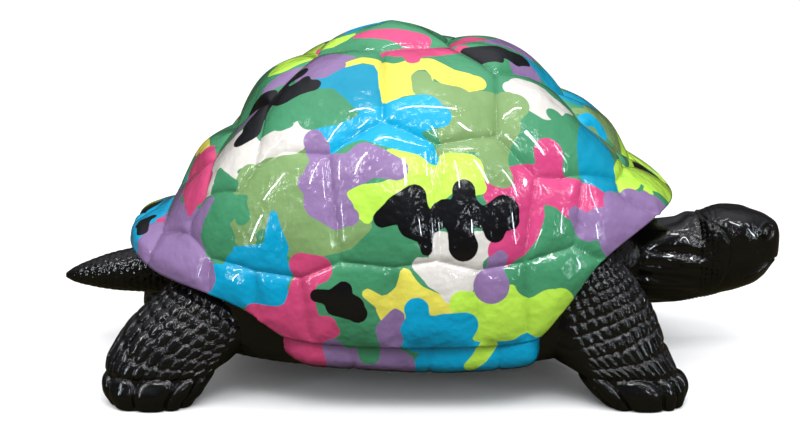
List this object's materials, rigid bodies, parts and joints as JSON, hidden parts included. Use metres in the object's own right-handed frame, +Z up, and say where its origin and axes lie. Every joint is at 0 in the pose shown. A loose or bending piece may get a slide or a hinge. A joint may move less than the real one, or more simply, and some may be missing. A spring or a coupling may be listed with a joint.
{
  "type": "turtle sculpture",
  "caption": "Life-size walking turtle moulded in one piece, with a domed plated shell painted in glossy camouflage and black scaly skin.",
  "frame": {"origin": "on the ground under the middle of the turtle's bounding box, level with the soles of the feet", "axes": "+X from tail to nose, +Y to the turtle's left side, +Z up"},
  "size_m": [1.204, 0.6806, 0.5751],
  "materials": {
    "camouflage_paint": "gloss camouflage paint in green, lime, blue, yellow, lilac, pink, white and black over a moulded shell",
    "black_skin": "gloss black paint over moulded scales"
  },
  "bodies": {
    "root": {"turtle": "camouflage_paint"}
  },
  "joints": []
}
